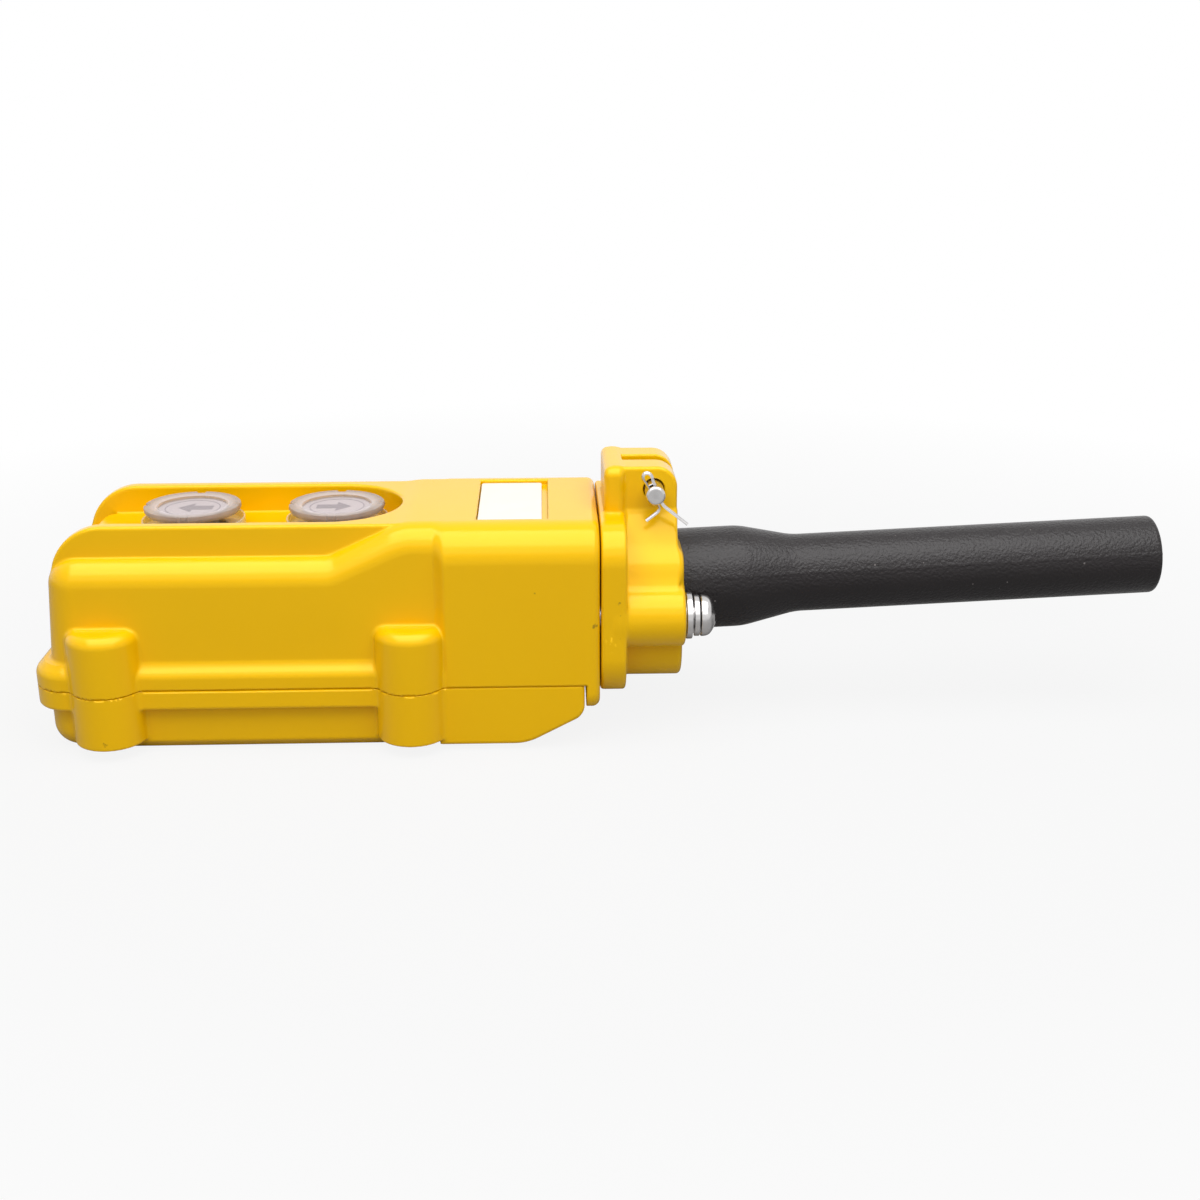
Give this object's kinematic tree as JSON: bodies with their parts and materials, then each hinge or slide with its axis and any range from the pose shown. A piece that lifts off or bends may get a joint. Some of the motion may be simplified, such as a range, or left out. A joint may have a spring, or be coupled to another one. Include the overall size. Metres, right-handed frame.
{
  "type": "pendant control station",
  "caption": "Hand-held pendant control station: yellow moulded housing, round arrow push buttons in a finger channel, hanger lug with pin and cotter, black rubber cable boot.",
  "frame": {"origin": "Under the middle of the overall length, on the plane of symmetry, at the height of the flat back face.", "axes": "+X runs from the button end to the tip of the cable boot, +Z points out of the button side, Y runs across the width."},
  "size_m": [0.2988, 0.0696, 0.0711],
  "materials": {
    "yellow_abs": "glossy moulded ABS",
    "black_rubber": "matte moulded rubber",
    "zinc_plated_steel": "bright zinc plated steel",
    "brass": "stamped or turned brass",
    "clear_acrylic": "clear moulded acrylic",
    "lilac_legend": "printed legend disc",
    "white_plate": "bare white plate",
    "brown_phenolic": "moulded phenolic",
    "grey_nylon": "moulded nylon"
  },
  "bodies": {
    "housing": {"front_housing": "yellow_abs", "rear_cover": "yellow_abs", "housing_gasket": "black_rubber", "cover_screw_1": "zinc_plated_steel", "cover_screw_2": "zinc_plated_steel", "cover_screw_3": "zinc_plated_steel", "cover_screw_4": "zinc_plated_steel", "cover_insert_1": "brass", "cover_insert_2": "brass", "cover_insert_3": "brass", "cover_insert_4": "brass", "label_plate": "white_plate", "button_collar_1": "clear_acrylic", "button_seal_1": "black_rubber", "button_collar_2": "clear_acrylic", "button_seal_2": "black_rubber", "contact_base": "brown_phenolic", "base_screw_1": "zinc_plated_steel", "base_screw_2": "zinc_plated_steel", "fixed_contact_1": "brass", "fixed_contact_2": "brass", "fixed_contact_3": "brass", "fixed_contact_4": "brass", "terminal_screw_1": "brass", "terminal_screw_2": "brass", "terminal_screw_3": "brass", "terminal_screw_4": "brass", "cord_clamp": "zinc_plated_steel", "clamp_screw_1": "zinc_plated_steel", "clamp_screw_2": "zinc_plated_steel", "cable_cap": "yellow_abs", "cap_screw_1": "zinc_plated_steel", "cap_flat_washer_1": "zinc_plated_steel", "cap_spring_washer_1": "zinc_plated_steel", "cap_nut_1": "zinc_plated_steel", "cap_screw_2": "zinc_plated_steel", "cap_flat_washer_2": "zinc_plated_steel", "cap_spring_washer_2": "zinc_plated_steel", "cap_nut_2": "zinc_plated_steel", "cable_boot": "black_rubber"},
    "button_1": {"button_lens_1": "clear_acrylic", "button_legend_1": "lilac_legend", "button_plunger_1": "grey_nylon", "contact_bridge_1": "brass", "return_spring_1": "zinc_plated_steel"},
    "button_2": {"button_lens_2": "clear_acrylic", "button_legend_2": "lilac_legend", "button_plunger_2": "grey_nylon", "contact_bridge_2": "brass", "return_spring_2": "zinc_plated_steel"},
    "hanger": {"hanger_pin": "zinc_plated_steel", "cotter_pin": "zinc_plated_steel"}
  },
  "joints": [
    {"name": "button_1_press", "type": "slide", "parent": "housing", "child": "button_1", "axis": [0, 0, -1], "range_m": [0, 0.0035], "stiffness_N_per_m": 900, "springref_m": -0.003, "deforming": ["return_spring_1"]},
    {"name": "button_2_press", "type": "slide", "parent": "housing", "child": "button_2", "axis": [0, 0, -1], "range_m": [0, 0.0035], "stiffness_N_per_m": 900, "springref_m": -0.003, "deforming": ["return_spring_2"]},
    {"name": "hanger_turn", "type": "hinge", "parent": "housing", "child": "hanger", "pos_m": [0.012, 0, 0.065], "axis": [0, 1, 0], "range_deg": [-230, 80]}
  ]
}
